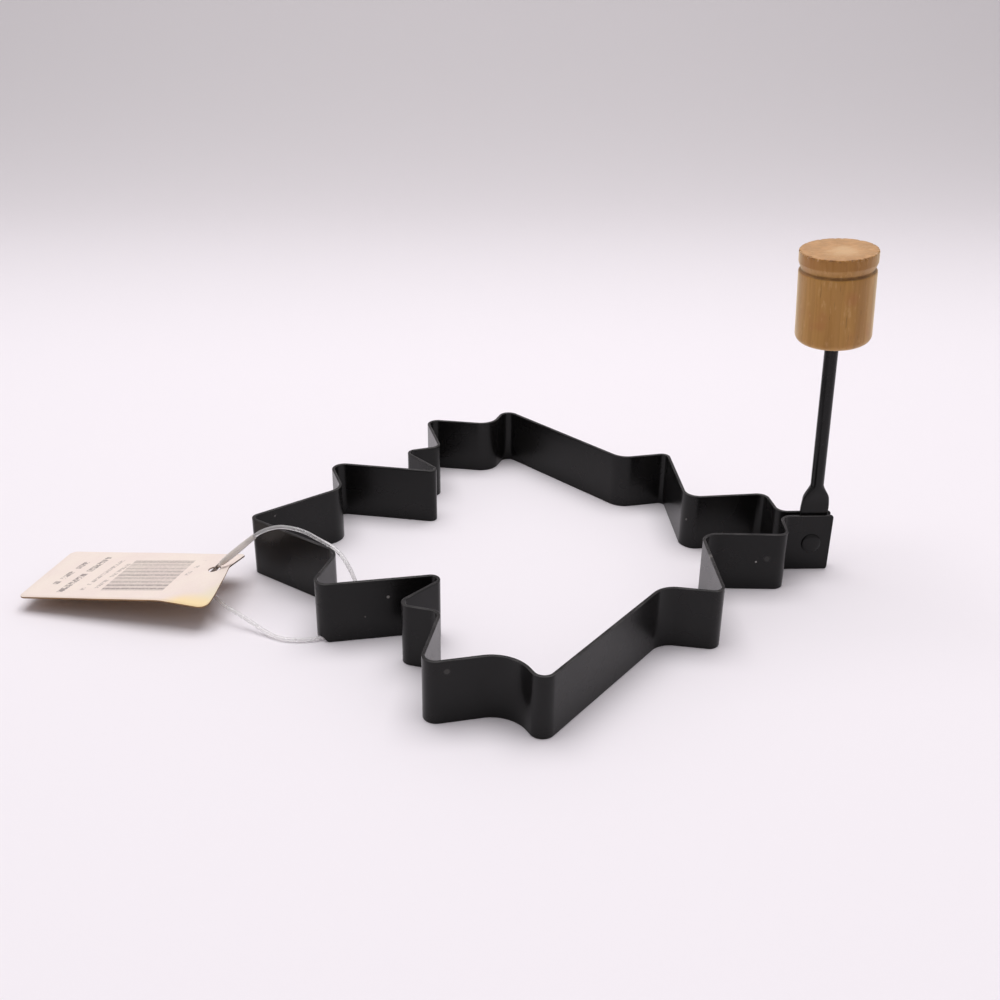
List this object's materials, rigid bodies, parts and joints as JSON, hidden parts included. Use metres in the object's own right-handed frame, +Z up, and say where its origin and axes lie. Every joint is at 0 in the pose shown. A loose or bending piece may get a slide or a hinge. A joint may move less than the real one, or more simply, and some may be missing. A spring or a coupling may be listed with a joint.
{
  "type": "pancake ring",
  "caption": "Leaf-shaped pancake ring: a folded steel strip on edge, a hinged rod handle with a wooden knob, and a hang tag on a clear loop.",
  "frame": {"origin": "Middle of the ring's and the upright handle's bounding box, on the surface that the strip's lower edge stands on. The hang tag and its loop are left out.", "axes": "+Z is up, along the strip's height. +X runs from the leaf's tip to the stem, where the handle is. +Y runs along the rivet, to the far side of the leaf."},
  "size_m": [0.211, 0.1466, 0.0876],
  "materials": {
    "leaf_band": "semi-gloss black non-stick coat",
    "pivot_rivet": "semi-gloss black coat",
    "handle_rod": "semi-gloss black coat",
    "wooden_knob": "turned, thinly varnished",
    "tag_loop": "clear strand",
    "loop_lock": "clear, a little milky",
    "price_tag": "matt cream card"
  },
  "bodies": {
    "ring": {"leaf_band": "leaf_band", "pivot_rivet": "pivot_rivet", "tag_loop": "tag_loop", "loop_lock": "loop_lock"},
    "handle": {"handle_rod": "handle_rod", "wooden_knob": "wooden_knob"},
    "card": {"price_tag": "price_tag"}
  },
  "joints": [
    {"name": "handle_fold", "type": "hinge", "parent": "ring", "child": "handle", "pos_m": [0.0697, 0, 0.0079], "axis": [0, 1, 0], "range_deg": [-83, 87]},
    {"name": "tag_turn", "type": "hinge", "parent": "ring", "child": "card", "pos_m": [-0.0862, -0.011, 0.0073], "axis": [-0.0835, 0.0701, 0.994], "range_deg": [-25, 25]}
  ]
}
